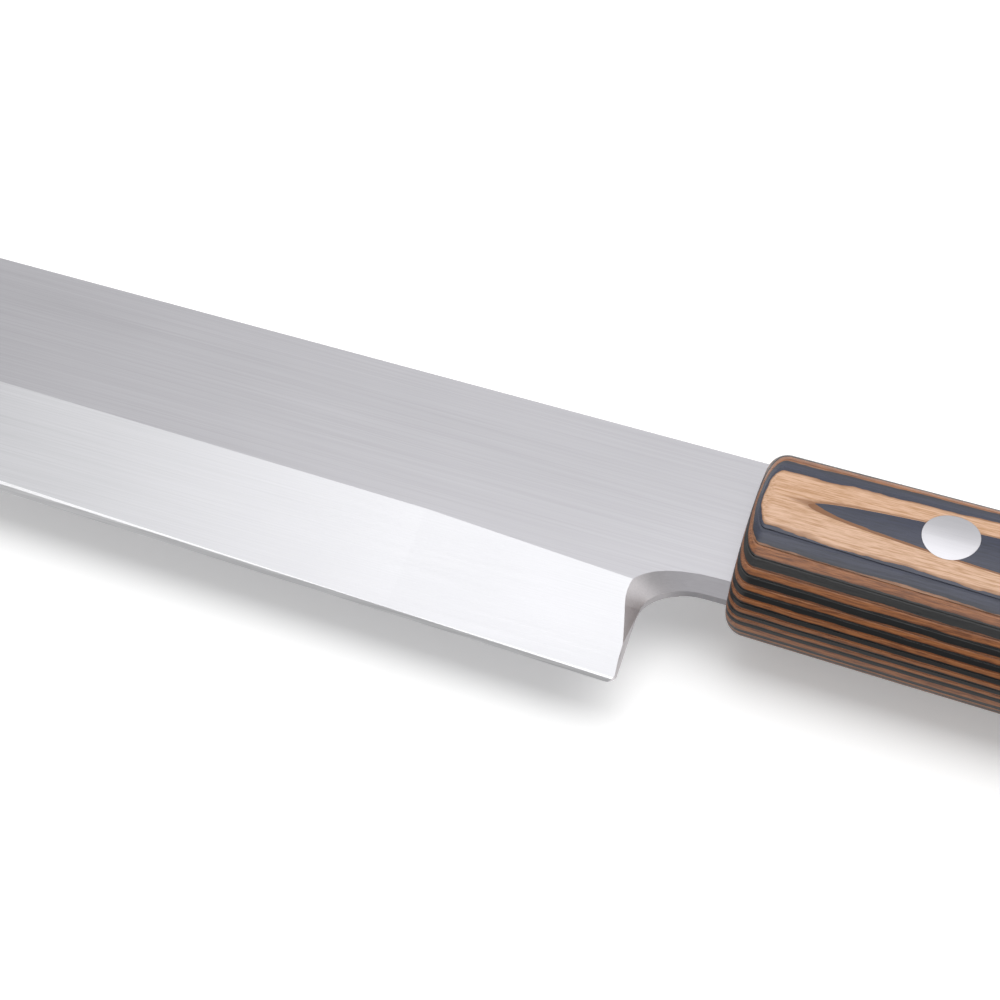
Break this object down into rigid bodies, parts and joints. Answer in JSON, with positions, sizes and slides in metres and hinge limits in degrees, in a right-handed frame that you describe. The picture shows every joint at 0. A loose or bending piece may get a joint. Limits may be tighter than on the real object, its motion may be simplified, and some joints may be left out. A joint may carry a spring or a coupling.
{
  "type": "yanagiba knife",
  "caption": "Long narrow single-bevel slicing knife with a pointed tip, cut-back heel and a riveted handle of laminated wood plies.",
  "frame": {"origin": "middle of the knife's footprint, on the surface that its handle lies on", "axes": "knife lying on its flat side: the tip points to -X and the butt to +X, the spine faces +Y and the edge -Y, the bevelled face is up, +Z"},
  "size_m": [0.3676, 0.0314, 0.015],
  "materials": {
    "blade_steel": "satin stainless steel, polished along the blade",
    "dark_veneer": "dyed, resin-filled beech veneer, satin",
    "tan_veneer": "resin-filled beech veneer, satin",
    "rivet_metal": "ground flush and satin polished"
  },
  "bodies": {
    "root": {"blade": "blade_steel", "dark_ply_01_front": "dark_veneer", "dark_ply_01_rear": "dark_veneer", "dark_ply_02": "dark_veneer", "dark_ply_03": "dark_veneer", "dark_ply_04": "dark_veneer", "dark_ply_05": "dark_veneer", "dark_ply_06": "dark_veneer", "dark_ply_07": "dark_veneer", "dark_ply_08": "dark_veneer", "dark_ply_09": "dark_veneer", "dark_ply_10": "dark_veneer", "dark_ply_11": "dark_veneer", "dark_ply_12": "dark_veneer", "dark_ply_13": "dark_veneer", "dark_ply_14": "dark_veneer", "dark_ply_15": "dark_veneer", "dark_ply_16_front": "dark_veneer", "dark_ply_16_rear": "dark_veneer", "tan_ply_01": "tan_veneer", "tan_ply_02": "tan_veneer", "tan_ply_03": "tan_veneer", "tan_ply_04": "tan_veneer", "tan_ply_05": "tan_veneer", "tan_ply_06": "tan_veneer", "tan_ply_07": "tan_veneer", "tan_ply_08": "tan_veneer", "tan_ply_09": "tan_veneer", "tan_ply_10": "tan_veneer", "tan_ply_11": "tan_veneer", "tan_ply_12": "tan_veneer", "tan_ply_13": "tan_veneer", "tan_ply_14": "tan_veneer", "tan_ply_15": "tan_veneer", "front_rivet_socket": "rivet_metal", "front_rivet_stud": "rivet_metal", "rear_rivet_socket": "rivet_metal", "rear_rivet_stud": "rivet_metal"}
  },
  "joints": []
}
